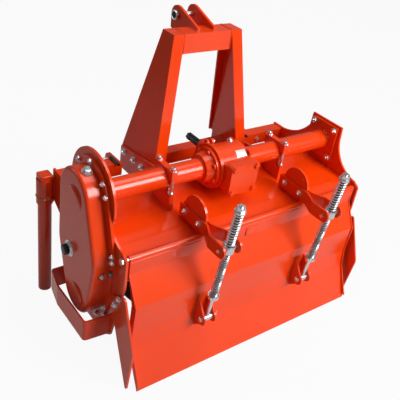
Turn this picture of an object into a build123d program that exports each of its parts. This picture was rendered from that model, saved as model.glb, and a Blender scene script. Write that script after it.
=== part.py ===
from build123d import *
import os
from math import atan2, cos, hypot, sin

os.makedirs("parts", exist_ok=True)

# Sizes in millimetres. X runs to the machine's right, Y forward to the tractor and Z up.
# The origin is the middle of the input shaft's end face. Side profiles are drawn from the
# main tube's axis: the first number runs forward of it and the second up from it.

# Main frame
TUBE_HEIGHT = 720.0          # main tube's axis over the floor
INPUT_REACH = 270.0          # end of the input shaft ahead of the main tube's axis
HALF_WIDTH = 630.0           # inner face of each side plate from the middle
PLATE = 10.0                 # side plates
SHEET = 5.0                  # hood and levelling board
TUBE_R = 44.5                # main tube, outside
TUBE_WALL = 6.3
TUBE_Y = -INPUT_REACH
FLOOR = -TUBE_HEIGHT

# Rotor
ROTOR_BACK = 45.0            # rotor axis behind the main tube's axis
ROTOR_DROP = 412.0           # rotor axis below the main tube's axis
TINE_REACH = 240.0           # rotor axis to the tine tips
ROTOR_TUBE_R = 38.0
ROTOR_END_GAP = 14.0         # rotor tube's end to the side plate
STUB_R = 25.0
STUB_GAP = 0.3               # shaft stub in the side plate's bearing
BEARING_FLANGE_R = 68.0
BEARING_FLANGE_T = 10.0
BEARING_R = 46.0
BEARING_OUT = 34.0           # cap's end from the side plate
FLANGE_R = 100.0
FLANGE_T = 8.0
FLANGE_COUNT = 6
FLANGE_FROM_PLATE = 58.0
TINES_PER_FLANGE = 6
TINE_T = 7.0
TINE_WIDTH = 58.0
TINE_FOOT = 92.0             # length of the bent foot across the machine
TINE_ROOT = 60.0             # rotor axis to the tine's inner end
TINE_SWEEP = 4.0             # foot's front edge behind the tine's root, degrees
TINE_SPAN = 16.0             # foot's width round the rotor, degrees
TINE_CURVE = 420.0
TINE_TWIST = 22.0            # each flange's turn on from its neighbour, degrees

# Hood over the rotor
HOOD_FRONT = (232.0, -262.0)
HOOD_BROW = (100.0, -104.0)
HOOD_FOLD_FRONT = (-38.0, -126.0)
HOOD_FOLD_REAR = (-175.0, -138.0)
HOOD_REAR = (-232.0, -150.0)

# Board and its hinge
HINGE_BACK = 255.0
HINGE_DROP = 142.0
HINGE_R = 8.0
KNUCKLE_R = 14.0
BOARD_END_GAP = 14.0         # board's end to the side plate
BOARD_CLEAR = 2.0            # board's lower edge over the floor
BOARD_END_T = 6.0
BOARD_TOP = (-262.0, -212.0)
BOARD_BULGE = (-327.0, -330.0)
BOARD_WAIST = (-320.0, -470.0)
BOARD_KNEE = (-330.0, -548.0)
BOARD_TOE_BACK = 398.0

# Spring rods
ROD_X = 279.0                # each rod's plane from the middle
ROD_R = 9.0
ROD_EYE = (-368.0, -485.0)   # eye on the board's lugs
ROD_TOP_LIFT = 205.0         # rod's head above the swivel, along the rod
SWIVEL = (-414.0, -91.0)
SWIVEL_R = 25.0
SWIVEL_LENGTH = 30.0
SWIVEL_PIN_R = 8.0
FIT = 0.3                    # pin in its hole
EYE_R = 15.0
EYE_LENGTH = 44.0
EYE_PIN_R = 6.5
EYE_GAP = 4.0                # open pivot between the eye and its pin
CUP_LIFT = 124.0             # cup above the eye, along the rod
CUP_R = 24.5
CUP_T = 5.0
CUP_RIM_T = 3.0
CUP_RIM_H = 9.0
UPPER_SPRING_R = 23.0
LOWER_SPRING_R = 19.0
UPPER_WIRE = 6.0
LOWER_WIRE = 5.0
UPPER_COILS = 14.25
LOWER_COILS = 30.25
SPRING_SEAT = 0.3            # coil to the face it rests on
HEAD_R = 23.0                # washer over the upper spring
HEAD_T = 7.0
NUT_R = 18.0
HEAD_LENGTH = 26.0           # washer and nut together
ROD_OVER = 6.0               # rod's end over its nut
LUG_T = 8.0
LUG_R = 28.0

# Fork plates and hood ribs that carry the swivels
RIB_T = 10.0
FORK_T = 8.0
FORK_SPREAD = 36.5           # inner face of each fork plate from the rod's plane, at the swivel
RIB_ROUND = (-197.0, -64.0)
RIB_R = 72.0
FORK_FRONT = -105.0
FORK_TOP = -64.0
FORK_DEPTH = 58.0
FORK_END_R = 30.0
FORK_KINK_START = -285.0
FORK_KINK_END = -345.0
BOLT_HEAD_R = 14.0
BOLT_HEAD_H = 10.0

# Tube clamps
CLAMP_X = 307.0
YOKE_WIDTH = 26.0
YOKE_REACH = 66.0
YOKE_TOP = 56.0
YOKE_BOTTOM = 12.0
SADDLE_TOP = -56.0
SADDLE_NECK = 38.0
SADDLE_DEPTH = 150.0         # tube axis to below the hood, which trims the foot
STUD_R = 8.0
STUD_REACH = 54.0

# Mast
MAST_TOP_Z = 505.0
MAST_TOP_X = 178.0
MAST_FOOT_X = 262.0
MAST_TOP_FRONT = 309.0
MAST_TOP_REAR = 226.0
MAST_FOOT_FRONT = 424.0
MAST_FOOT_REAR = 146.0
MAST_WEB = 8.0
MAST_FLANGE = 55.0
MAST_TOE = 16.0              # front flange's width at the foot
HEAD_BOX_H = 84.0
EAR_X = 36.0                 # inner face of each ear
EAR_T = 12.0
EAR_R = 40.0
TOP_PIN = (405.0, 526.0)
TOP_PIN_R = 12.5
TOP_PIN_HEAD_R = 22.0
TOP_PIN_OVER = 12.0

# Hitch plates, beam and lower link pins
HITCH_X = 262.0              # inner face of each hitch plate
HITCH_T = 12.0
HITCH_TOP = -68.0            # plate's top edge at its front
HITCH_TOP_REAR = -20.0       # and at its rear, under the main tube
HITCH_FRONT = 410.0
HITCH_REAR = 50.0
HITCH_BOTTOM = -178.0
BEAM_REAR = 280.0
BEAM_TOP = -80.0
BEAM_SIZE = 60.0
BEAM_WALL = 6.0
LINK_X = 341.0               # inner face of each lower link clevis, where the outer bars end
LINK_T = 12.0
LINK_GAP = 64.0
LINK_R = 30.0
LINK_PIN_R = 11.0
LINK_PIN_HEAD_R = 18.0
LINK_PIN_OVER = 14.0
LINK_PIN = (384.0, -112.0)

# Gearbox
TUBE_FLANGE_Y = 164.0        # square flange on the tube's right end
TUBE_FLANGE_Z = 178.0
TUBE_FLANGE_T = 12.0
BOX_PLATE = 150.0            # square flange of the right tube on the gearbox
BOX_PLATE_T = 10.0
BOX_HALF_X = 74.0
BOX_REAR = -133.0
BOX_FRONT = 92.0
BOX_BODY_R = 88.0
BOX_FLANGE_R = 100.0
BOX_FLANGE_T = 14.0
BELL_R = 88.0                # left tube's bell, bolted to the round flange
BELL_NECK_R = 60.0
BELL_LENGTH = 34.0
COVER_T = 12.0
COVER_SIZE = 140.0
COVER_LIFT = -6.0
INPUT_R = 17.4
INPUT_SEAT = 40.0            # how far the input shaft runs into its hub
INPUT_JOURNAL_R = 21.0
INPUT_HUB_R = 42.0
INPUT_HUB_FRONT = 152.0

# Side drive case
CASE_TOP = (0.0, 15.0)
CASE_TOP_R = 112.0
CASE_DISC_R = 172.0
CASE_BOTTOM_R = 100.0
CASE_WAIST_R = 150.0
CASE_WAIST = (-33.0, -210.0)
CASE_FLANGE = 32.0
CASE_FLANGE_T = 12.0
CASE_DEPTH = 70.0
RECESS_R = 50.0              # pressed crescents in the case's outer face
RECESS_WIDTH = 24.0
RECESS_DEPTH = 4.0
UPPER_RECESS = (-12.0, 2.0)
LOWER_RECESS = (-45.0, -446.0)

# Guard round the drive case
GUARD_OUT = 107.0            # guard's outer face from the side plate
GUARD_TOP = -462.0
GUARD_H = 100.0
GUARD_T = 8.0
GUARD_FRONT = 165.0
GUARD_REAR = -190.0

# Side wings
WING_T = 8.0
WING_TOP = (-238.0, -364.0)
WING_TOP_R = 36.0
WING_CREST = (-294.0, -304.0)
WING_CREST_R = 12.0
WING_MIDDLE = (-330.0, -515.0)
WING_MIDDLE_R = 60.0
WING_TIP_BACK = 362.0
WING_TIP_R = 7.0

# Parking stand
STAND_Y = 350.0
STAND_R = 30.0
STAND_OVER = 4.0             # leg's top over its sleeve, under the cap
STAND_CAP = 56.0
STAND_CAP_T = 20.0
SLEEVE_R = 36.0
SLEEVE_TOP = -118.0
SLEEVE_H = 118.0
SLEEVE_GAP = 0.5
SLEEVE_FOOT = 32.0           # width of the block that joins the sleeve to the side plate
STAND_X = HALF_WIDTH + PLATE + SLEEVE_R


def across(x):
    """A plane square to X at x, with the main tube's axis as its origin."""
    return Plane(origin=(x, TUBE_Y, 0), x_dir=(0, 1, 0), z_dir=(1, 0, 0))


def save(piece, name):
    piece.label = name
    export_step(piece, f"parts/{name}.step")


def sides():
    return (("left", -1), ("right", 1))


def at(point, x):
    """The place of a side profile's point, at x across the machine."""
    return (x, TUBE_Y + point[0], point[1])


def from_x(side, near, thickness):
    """The lower x of a slab whose near face lies at near from the middle on that side."""
    return near if side > 0 else -near - thickness


MAST_FOOT_Z = BEAM_TOP
BEAM = (BEAM_REAR + BEAM_SIZE / 2, BEAM_TOP - BEAM_SIZE / 2)
HINGE = (-HINGE_BACK, -HINGE_DROP)
ROTOR = (-ROTOR_BACK, -ROTOR_DROP)
ROD_TILT = atan2(ROD_EYE[0] - SWIVEL[0], SWIVEL[1] - ROD_EYE[1])
ROD_SPAN = hypot(ROD_EYE[0] - SWIVEL[0], SWIVEL[1] - ROD_EYE[1])


def along_rod(distance):
    """The side profile's point at a distance up the rod from its eye."""
    return (ROD_EYE[0] - distance * sin(ROD_TILT), ROD_EYE[1] + distance * cos(ROD_TILT))


def rod_plane(distance, x):
    """A plane square to the rod at a distance up from its eye."""
    return Plane(
        origin=at(along_rod(distance), x),
        x_dir=(1, 0, 0),
        z_dir=(0, -sin(ROD_TILT), cos(ROD_TILT)),
    )


# Side plates: an ear behind for the board's hinge, concave edges and a round foot
EAR_BACK = 278.0
EAR_TOP = -118.0
EAR_BOTTOM = -262.0
FRONT_EAR = 345.0             # bracket on each plate that takes the beam and the stand
FRONT_EAR_TOP = -74.0
FRONT_EAR_BOTTOM = -222.0
FRONT_EAR_LENGTH = 72.0
FOOT_FRONT = 176.0
FOOT_REAR = -202.0
FOOT_TOP = -564.0
FOOT_BOTTOM = -602.0
NECK = 96.0


def side_outline(top):
    """The side plate's outline below its neck. top is where the neck ends."""
    with BuildSketch(Plane.XY) as outline:
        with BuildLine():
            start = Line((-NECK, top), (-NECK - 4, 30))
            curve = RadiusArc(start @ 1, (-EAR_BACK + 30, EAR_TOP + 4), 165)
            ear = Line(curve @ 1, (-EAR_BACK, EAR_TOP - 18))
            back = Line(ear @ 1, (-EAR_BACK, EAR_BOTTOM))
            skirt = Line(back @ 1, (FOOT_REAR, FOOT_TOP))
            heel = Line(skirt @ 1, (FOOT_REAR + 50, FOOT_BOTTOM))
            sole = Line(heel @ 1, (FOOT_FRONT - 50, FOOT_BOTTOM))
            toe = Line(sole @ 1, (FOOT_FRONT, FOOT_TOP))
            rise = Line(toe @ 1, (240, -282))
            under = Line(rise @ 1, (FRONT_EAR, FRONT_EAR_BOTTOM))
            nose = Line(under @ 1, (FRONT_EAR, FRONT_EAR_TOP))
            brow = Line(nose @ 1, (FRONT_EAR - FRONT_EAR_LENGTH, FRONT_EAR_TOP))
            shin = RadiusArc(brow @ 1, (NECK + 4, 30), 240)
            neck = Line(shin @ 1, (NECK, top))
            Line(neck @ 1, start @ 0)
        make_face()
    return outline.sketch


with BuildPart() as side_plate_right:
    with BuildSketch(across(HALF_WIDTH)):
        add(side_outline(98))
        with Locations(ROTOR):
            Circle(STUB_R + STUB_GAP, mode=Mode.SUBTRACT)
        with Locations(HINGE):
            Circle(HINGE_R + FIT, mode=Mode.SUBTRACT)
    extrude(amount=PLATE)
save(side_plate_right.part, "side_plate_right")

with BuildPart() as side_plate_left:
    with BuildSketch(across(-HALF_WIDTH - PLATE)):
        add(side_outline(40))
        with Locations(CASE_TOP):
            Circle(CASE_DISC_R)
        with Locations(ROTOR):
            Circle(STUB_R + STUB_GAP, mode=Mode.SUBTRACT)
        with Locations(HINGE):
            Circle(HINGE_R + FIT, mode=Mode.SUBTRACT)
    extrude(amount=PLATE)
save(side_plate_left.part, "side_plate_left")


# Bearing cap: closes the rotor's bearing on the outside of the right side plate
with BuildPart() as bearing_cap:
    with BuildSketch(across(HALF_WIDTH + PLATE)):
        with Locations(ROTOR):
            Circle(BEARING_FLANGE_R)
    extrude(amount=BEARING_FLANGE_T)
    with BuildSketch(across(HALF_WIDTH + PLATE + BEARING_FLANGE_T)):
        with Locations(ROTOR):
            Circle(BEARING_R)
    extrude(amount=BEARING_OUT - BEARING_FLANGE_T)
    fillet(bearing_cap.edges().group_by(Axis.X)[-1], 6)
save(bearing_cap.part, "bearing_cap")


# Hood: one folded sheet from side plate to side plate
with BuildPart() as hood:
    with BuildSketch(across(-HALF_WIDTH)):
        with BuildLine():
            FilletPolyline(HOOD_FRONT, HOOD_BROW, HOOD_FOLD_FRONT, HOOD_FOLD_REAR, HOOD_REAR, radius=18)
            offset(amount=SHEET / 2)
        make_face()
    extrude(amount=2 * HALF_WIDTH)
save(hood.part, "hood")


with BuildPart() as hood_room:
    with BuildSketch(across(-HALF_WIDTH)):
        with BuildLine():
            Polyline(
                HOOD_FRONT,
                HOOD_BROW,
                HOOD_FOLD_FRONT,
                HOOD_FOLD_REAR,
                HOOD_REAR,
                (HOOD_REAR[0], -400),
                (HOOD_FRONT[0], -400),
                close=True,
            )
        make_face()
    extrude(amount=2 * HALF_WIDTH)
    add(hood.part)


# Main tube halves
with BuildPart() as main_tube_left:
    with BuildSketch(across(-HALF_WIDTH)):
        Circle(TUBE_R)
        Circle(TUBE_R - TUBE_WALL, mode=Mode.SUBTRACT)
    extrude(amount=HALF_WIDTH - BOX_HALF_X - BOX_FLANGE_T)
    with BuildSketch(across(-BOX_HALF_X - 2 * BOX_FLANGE_T)):
        Circle(BELL_R)
        Circle(TUBE_R - TUBE_WALL, mode=Mode.SUBTRACT)
    extrude(amount=BOX_FLANGE_T)
    with BuildSketch(across(-BOX_HALF_X - 2 * BOX_FLANGE_T - BELL_LENGTH)):
        Circle(BELL_NECK_R)
    with BuildSketch(across(-BOX_HALF_X - 2 * BOX_FLANGE_T)):
        Circle(BELL_NECK_R + 12)
    loft()
    with BuildSketch(across(-BOX_HALF_X - 2 * BOX_FLANGE_T - BELL_LENGTH)):
        Circle(TUBE_R - TUBE_WALL)
    extrude(amount=BELL_LENGTH + 2 * BOX_FLANGE_T, mode=Mode.SUBTRACT)
save(main_tube_left.part, "main_tube_left")

with BuildPart() as main_tube_right:
    with BuildSketch(across(BOX_HALF_X)):
        Circle(TUBE_R)
        Circle(TUBE_R - TUBE_WALL, mode=Mode.SUBTRACT)
    extrude(amount=HALF_WIDTH - BOX_HALF_X)
    with BuildSketch(across(HALF_WIDTH - TUBE_FLANGE_T)):
        RectangleRounded(TUBE_FLANGE_Y, TUBE_FLANGE_Z, 6)
        Circle(TUBE_R - TUBE_WALL, mode=Mode.SUBTRACT)
    extrude(amount=TUBE_FLANGE_T)
    with BuildSketch(across(BOX_HALF_X)):
        RectangleRounded(BOX_PLATE, BOX_PLATE, 6)
        Circle(TUBE_R - TUBE_WALL, mode=Mode.SUBTRACT)
    extrude(amount=BOX_PLATE_T)
save(main_tube_right.part, "main_tube_right")


# Gearbox: cast housing with a round flange on its left and a square cover behind
with BuildPart() as gearbox:
    with BuildSketch(across(-BOX_HALF_X)):
        Circle(BOX_BODY_R)
        with Locations((BOX_REAR / 2, COVER_LIFT)):
            Rectangle(-BOX_REAR, COVER_SIZE - 2 * COVER_T)
        with Locations((BOX_FRONT / 2, 0)):
            Rectangle(BOX_FRONT, 2 * INPUT_HUB_R)
    extrude(amount=2 * BOX_HALF_X)
    with BuildSketch(Plane(origin=(0, TUBE_Y + BOX_REAR, COVER_LIFT), x_dir=(1, 0, 0), z_dir=(0, -1, 0))):
        RectangleRounded(2 * BOX_HALF_X, COVER_SIZE, 10)
    extrude(amount=-2 * COVER_T)
    with BuildSketch(across(-BOX_HALF_X - BOX_FLANGE_T)):
        Circle(BOX_FLANGE_R)
    extrude(amount=BOX_FLANGE_T)
    with BuildSketch(Plane(origin=(0, TUBE_Y + BOX_FRONT, 0), x_dir=(-1, 0, 0), z_dir=(0, 1, 0))):
        Circle(INPUT_HUB_R)
    extrude(amount=INPUT_HUB_FRONT - BOX_FRONT)
    with BuildSketch(Plane(origin=(0, TUBE_Y + INPUT_HUB_FRONT, 0), x_dir=(-1, 0, 0), z_dir=(0, 1, 0))):
        Circle(INPUT_JOURNAL_R + FIT)
    extrude(amount=-INPUT_SEAT, mode=Mode.SUBTRACT)
save(gearbox.part, "gearbox")

with BuildPart() as gearbox_cover:
    with BuildSketch(Plane(origin=(0, TUBE_Y + BOX_REAR, COVER_LIFT), x_dir=(1, 0, 0), z_dir=(0, -1, 0))):
        RectangleRounded(2 * BOX_HALF_X, COVER_SIZE, 10)
    extrude(amount=COVER_T)
save(gearbox_cover.part, "gearbox_cover")

with BuildPart() as input_shaft:
    with BuildSketch(Plane.XZ):
        Circle(INPUT_R)
    extrude(amount=INPUT_REACH - INPUT_HUB_FRONT)
    with BuildSketch(Plane.XZ.offset(INPUT_REACH - INPUT_HUB_FRONT)):
        Circle(INPUT_JOURNAL_R)
    extrude(amount=INPUT_SEAT - FIT)
save(input_shaft.part, "input_shaft")


# Side drive case: a deep pressed cover over the gear train, wider below
def case_outline(grow):
    """The case's outline, grown outwards by a flange."""
    with BuildSketch(Plane.XY) as outline:
        with Locations(CASE_TOP):
            Circle(CASE_TOP_R + grow)
        with Locations(CASE_WAIST):
            Circle(CASE_WAIST_R + grow)
        with Locations(ROTOR):
            Circle(CASE_BOTTOM_R + grow)
        make_hull()
    return outline.sketch


with BuildPart() as drive_case:
    with BuildSketch(across(-HALF_WIDTH - PLATE - CASE_FLANGE_T)):
        add(case_outline(CASE_FLANGE))
    extrude(amount=CASE_FLANGE_T)
    with BuildSketch(across(-HALF_WIDTH - PLATE - CASE_FLANGE_T - CASE_DEPTH)):
        add(case_outline(0))
    extrude(amount=CASE_DEPTH)
    fillet(drive_case.edges().group_by(Axis.X)[0], 14)
    with BuildSketch(across(-HALF_WIDTH - PLATE - CASE_FLANGE_T - CASE_DEPTH)):
        with Locations(UPPER_RECESS, LOWER_RECESS):
            SlotArc(CenterArc((0, 0), RECESS_R, 55, 110), RECESS_WIDTH)
    extrude(amount=RECESS_DEPTH, taper=30, mode=Mode.SUBTRACT)
save(drive_case.part, "drive_case")


# Guard: a flat band bent round the foot of the drive case
GUARD_FACE = HALF_WIDTH + PLATE + GUARD_OUT
with BuildPart() as case_guard:
    with BuildSketch(Plane(origin=(0, TUBE_Y, GUARD_TOP - GUARD_H))):
        with BuildLine():
            FilletPolyline(
                (-HALF_WIDTH - PLATE, GUARD_FRONT),
                (-GUARD_FACE + 22, GUARD_FRONT),
                (-GUARD_FACE, GUARD_FRONT - 110),
                (-GUARD_FACE, GUARD_REAR + 8),
                (-HALF_WIDTH - PLATE, GUARD_REAR),
                radius=12,
            )
            offset(amount=GUARD_T / 2)
        make_face()
    extrude(amount=GUARD_H)
    add(side_plate_left.part, mode=Mode.SUBTRACT)
save(case_guard.part, "case_guard")


# Tube clamps: a yoke over the tube, drawn down on a saddle by two long studs
for side_name, side in sides():
    with BuildPart() as tube_clamp:
        with BuildSketch(across(side * CLAMP_X - YOKE_WIDTH / 2)):
            with Locations((0, (YOKE_TOP + YOKE_BOTTOM) / 2)):
                Rectangle(2 * YOKE_REACH, YOKE_TOP - YOKE_BOTTOM)
            Circle(TUBE_R, mode=Mode.SUBTRACT)
        extrude(amount=YOKE_WIDTH)
        with BuildSketch(Plane(origin=(side * CLAMP_X, TUBE_Y, SADDLE_TOP))):
            with Locations((0, STUD_REACH), (0, -STUD_REACH)):
                Circle(STUD_R)
        extrude(amount=YOKE_BOTTOM - SADDLE_TOP)
        with BuildSketch(Plane(origin=(side * CLAMP_X, TUBE_Y, YOKE_TOP))):
            with Locations((0, STUD_REACH), (0, -STUD_REACH)):
                RegularPolygon(BOLT_HEAD_R, 6)
        extrude(amount=BOLT_HEAD_H)
    save(tube_clamp.part, f"tube_clamp_{side_name}")

    with BuildPart() as tube_saddle:
        with BuildSketch(across(side * CLAMP_X - YOKE_WIDTH / 2)):
            with BuildLine():
                Polyline(
                    (-YOKE_REACH, SADDLE_TOP),
                    (-YOKE_REACH, -SADDLE_DEPTH),
                    (YOKE_REACH, -SADDLE_DEPTH),
                    (YOKE_REACH, SADDLE_TOP),
                    (SADDLE_NECK, SADDLE_TOP),
                    (SADDLE_NECK, -SADDLE_NECK / 2),
                    (-SADDLE_NECK, -SADDLE_NECK / 2),
                    (-SADDLE_NECK, SADDLE_TOP),
                    close=True,
                )
            make_face()
            Circle(TUBE_R, mode=Mode.SUBTRACT)
        extrude(amount=YOKE_WIDTH)
        add(hood_room.part, mode=Mode.SUBTRACT)
    save(tube_saddle.part, f"tube_saddle_{side_name}")


# Mast: two tapered channel legs that lean in to a box head
def leg_section(side, height, outer, rear, front, front_flange, rear_flange):
    """A leg's section at a height: the web is outside, and the front flange narrows downwards."""
    with BuildSketch(Plane(origin=(0, TUBE_Y, height))) as section:
        with BuildLine():
            Polyline(
                (side * outer, rear),
                (side * outer, front),
                (side * (outer - front_flange), front),
                (side * (outer - rear_flange), rear),
                close=True,
            )
        make_face()
    return section.sketch


for side_name, side in sides():
    with BuildPart() as leg:
        add(leg_section(side, MAST_FOOT_Z, MAST_FOOT_X, MAST_FOOT_REAR, MAST_FOOT_FRONT, MAST_TOE, MAST_FLANGE))
        add(leg_section(side, MAST_TOP_Z, MAST_TOP_X, MAST_TOP_REAR, MAST_TOP_FRONT, MAST_FLANGE, MAST_FLANGE))
        loft()
        foot_web = MAST_FOOT_X - MAST_WEB
        top_web = MAST_TOP_X - MAST_WEB
        foot_rear, foot_front = MAST_FOOT_REAR + MAST_WEB, MAST_FOOT_FRONT - MAST_WEB
        top_rear, top_front = MAST_TOP_REAR + MAST_WEB, MAST_TOP_FRONT - MAST_WEB
        add(leg_section(side, MAST_FOOT_Z, foot_web, foot_rear, foot_front, MAST_FLANGE, MAST_FLANGE))
        add(leg_section(side, MAST_TOP_Z, top_web, top_rear, top_front, MAST_FLANGE, MAST_FLANGE))
        loft(mode=Mode.SUBTRACT)
        add(leg_section(side, MAST_TOP_Z, MAST_TOP_X, MAST_TOP_REAR, MAST_TOP_FRONT, MAST_FLANGE, MAST_FLANGE))
        extrude(amount=-MAST_WEB)
    save(leg.part, f"mast_leg_{side_name}")

HEAD_BOX_HALF = MAST_TOP_X - MAST_FLANGE
with BuildPart() as mast_head:
    with BuildSketch(across(-HEAD_BOX_HALF)):
        with BuildLine():
            Polyline(
                (MAST_TOP_FRONT, MAST_TOP_Z),
                (MAST_TOP_FRONT, MAST_TOP_Z - HEAD_BOX_H),
                (MAST_TOP_REAR, MAST_TOP_Z - HEAD_BOX_H),
                (MAST_TOP_REAR, MAST_TOP_Z),
                close=True,
            )
        make_face()
    extrude(amount=2 * HEAD_BOX_HALF)
    for x in (EAR_X, -EAR_X - EAR_T):
        with BuildSketch(across(x)):
            with BuildLine():
                Polyline(
                    (MAST_TOP_REAR + 20, MAST_TOP_Z - HEAD_BOX_H / 2),
                    (MAST_TOP_REAR + 20, MAST_TOP_Z + 12),
                    (TOP_PIN[0] - EAR_R / 3, TOP_PIN[1] + EAR_R),
                    (TOP_PIN[0] + EAR_R, TOP_PIN[1]),
                    (TOP_PIN[0] + EAR_R - 4, MAST_TOP_Z - HEAD_BOX_H / 2),
                    (MAST_TOP_FRONT, MAST_TOP_Z - HEAD_BOX_H),
                    close=True,
                )
            make_face()
            with Locations(TOP_PIN):
                Circle(EAR_R)
                Circle(TOP_PIN_R + FIT, mode=Mode.SUBTRACT)
        extrude(amount=EAR_T)
save(mast_head.part, "mast_head")

with BuildPart() as top_link_pin:
    with BuildSketch(across(-EAR_X - EAR_T - TOP_PIN_OVER)):
        with Locations(TOP_PIN):
            Circle(TOP_PIN_R)
    extrude(amount=2 * (EAR_X + EAR_T + TOP_PIN_OVER))
    with BuildSketch(across(-EAR_X - EAR_T - TOP_PIN_OVER)):
        with Locations(TOP_PIN):
            Circle(TOP_PIN_HEAD_R)
    extrude(amount=TOP_PIN_OVER - 2)
save(top_link_pin.part, "top_link_pin")


# Cross beam between the mast legs
with BuildPart() as hitch_beam:
    with BuildSketch(across(-HITCH_X)):
        with Locations(BEAM):
            Rectangle(BEAM_SIZE, BEAM_SIZE)
            Rectangle(BEAM_SIZE - 2 * BEAM_WALL, BEAM_SIZE - 2 * BEAM_WALL, mode=Mode.SUBTRACT)
    extrude(amount=2 * HITCH_X)
save(hitch_beam.part, "hitch_beam")


# Hitch plates, and an outer bar from each side plate that ends in a lower link clevis
for side_name, side in sides():
    with BuildPart() as hitch_plate:
        with BuildSketch(across(from_x(side, HITCH_X, HITCH_T))):
            with BuildLine():
                Polyline(
                    (HITCH_REAR, HITCH_TOP_REAR),
                    (HITCH_FRONT, HITCH_TOP),
                    (HITCH_FRONT, HITCH_BOTTOM),
                    (HOOD_FRONT[0] - 60, HITCH_BOTTOM),
                    (HITCH_REAR, HOOD_FOLD_FRONT[1] - 20),
                    close=True,
                )
            make_face()
        extrude(amount=HITCH_T)
        add(hood_room.part, mode=Mode.SUBTRACT)
    save(hitch_plate.part, f"hitch_plate_{side_name}")

    with BuildPart() as link_bar:
        with BuildSketch(across(from_x(side, LINK_X + LINK_T, HALF_WIDTH - LINK_X - LINK_T))):
            with Locations(BEAM):
                Rectangle(BEAM_SIZE, BEAM_SIZE)
                Rectangle(BEAM_SIZE - 2 * BEAM_WALL, BEAM_SIZE - 2 * BEAM_WALL, mode=Mode.SUBTRACT)
        extrude(amount=HALF_WIDTH - LINK_X - LINK_T)
        for near, rear in ((LINK_X, BEAM_REAR), (LINK_X + LINK_T + LINK_GAP, BEAM_REAR + BEAM_SIZE)):
            with BuildSketch(across(from_x(side, near, LINK_T))):
                with BuildLine():
                    Polyline(
                        (rear, BEAM_TOP),
                        (LINK_PIN[0], LINK_PIN[1] + LINK_R),
                        (LINK_PIN[0], LINK_PIN[1] - LINK_R),
                        (rear, BEAM_TOP - BEAM_SIZE),
                        close=True,
                    )
                make_face()
                with Locations(LINK_PIN):
                    Circle(LINK_R)
                    Circle(LINK_PIN_R + FIT, mode=Mode.SUBTRACT)
            extrude(amount=LINK_T)
    save(link_bar.part, f"link_bar_{side_name}")

    with BuildPart() as link_pin:
        pin_length = LINK_GAP + 2 * LINK_T + 2 * LINK_PIN_OVER
        with BuildSketch(across(from_x(side, LINK_X - LINK_PIN_OVER, pin_length))):
            with Locations(LINK_PIN):
                Circle(LINK_PIN_R)
        extrude(amount=pin_length)
        with BuildSketch(across(from_x(side, LINK_X + 2 * LINK_T + LINK_GAP + 2, LINK_PIN_OVER - 2))):
            with Locations(LINK_PIN):
                Circle(LINK_PIN_HEAD_R)
        extrude(amount=LINK_PIN_OVER - 2)
    save(link_pin.part, f"lower_link_pin_{side_name}")


# Hood ribs and the fork plates bolted to them
for side_name, side in sides():
    middle = side * ROD_X
    with BuildPart() as hood_rib:
        with BuildSketch(across(middle - RIB_T / 2)):
            with Locations(RIB_ROUND):
                Circle(RIB_R)
            with BuildLine():
                Polyline(
                    (RIB_ROUND[0] + RIB_R, RIB_ROUND[1]),
                    (RIB_ROUND[0] + RIB_R + 20, -160),
                    (HOOD_REAR[0], -170),
                    (RIB_ROUND[0] - RIB_R + 20, RIB_ROUND[1]),
                    close=True,
                )
            make_face()
        extrude(amount=RIB_T)
        add(hood_room.part, mode=Mode.SUBTRACT)
    save(hood_rib.part, f"hood_rib_{side_name}")

    with BuildPart() as fork:
        for hand in (-1, 1):
            near = hand * (RIB_T / 2 + FORK_T / 2)
            far = hand * (FORK_SPREAD + FORK_T / 2)
            with BuildSketch(Plane(origin=(middle, TUBE_Y, FORK_TOP))):
                with BuildLine():
                    FilletPolyline(
                        (near, FORK_FRONT),
                        (near, FORK_KINK_START),
                        (far, FORK_KINK_END),
                        (far, SWIVEL[0] - FORK_END_R),
                        radius=24,
                    )
                    offset(amount=FORK_T / 2)
                make_face()
            extrude(amount=-FORK_DEPTH)
        with BuildSketch(across(middle - 2 * FORK_SPREAD)):
            with BuildLine():
                Polyline(
                    (FORK_FRONT, FORK_TOP),
                    (FORK_KINK_START, FORK_TOP),
                    (SWIVEL[0], SWIVEL[1] + FORK_END_R),
                    (SWIVEL[0], SWIVEL[1] - FORK_END_R),
                    (FORK_KINK_END, SWIVEL[1] - FORK_END_R),
                    (FORK_KINK_START, FORK_TOP - FORK_DEPTH),
                    (FORK_FRONT, FORK_TOP - FORK_DEPTH),
                    close=True,
                )
            make_face()
            with Locations(SWIVEL):
                Circle(FORK_END_R)
        extrude(amount=4 * FORK_SPREAD, mode=Mode.INTERSECT)
        add(hood_room.part, mode=Mode.SUBTRACT)
        with BuildSketch(across(middle - FORK_SPREAD - FORK_T)):
            with Locations(SWIVEL):
                Circle(SWIVEL_PIN_R + FIT)
        extrude(amount=2 * (FORK_SPREAD + FORK_T), mode=Mode.SUBTRACT)
    save(fork.part, f"spring_fork_{side_name}")


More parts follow.
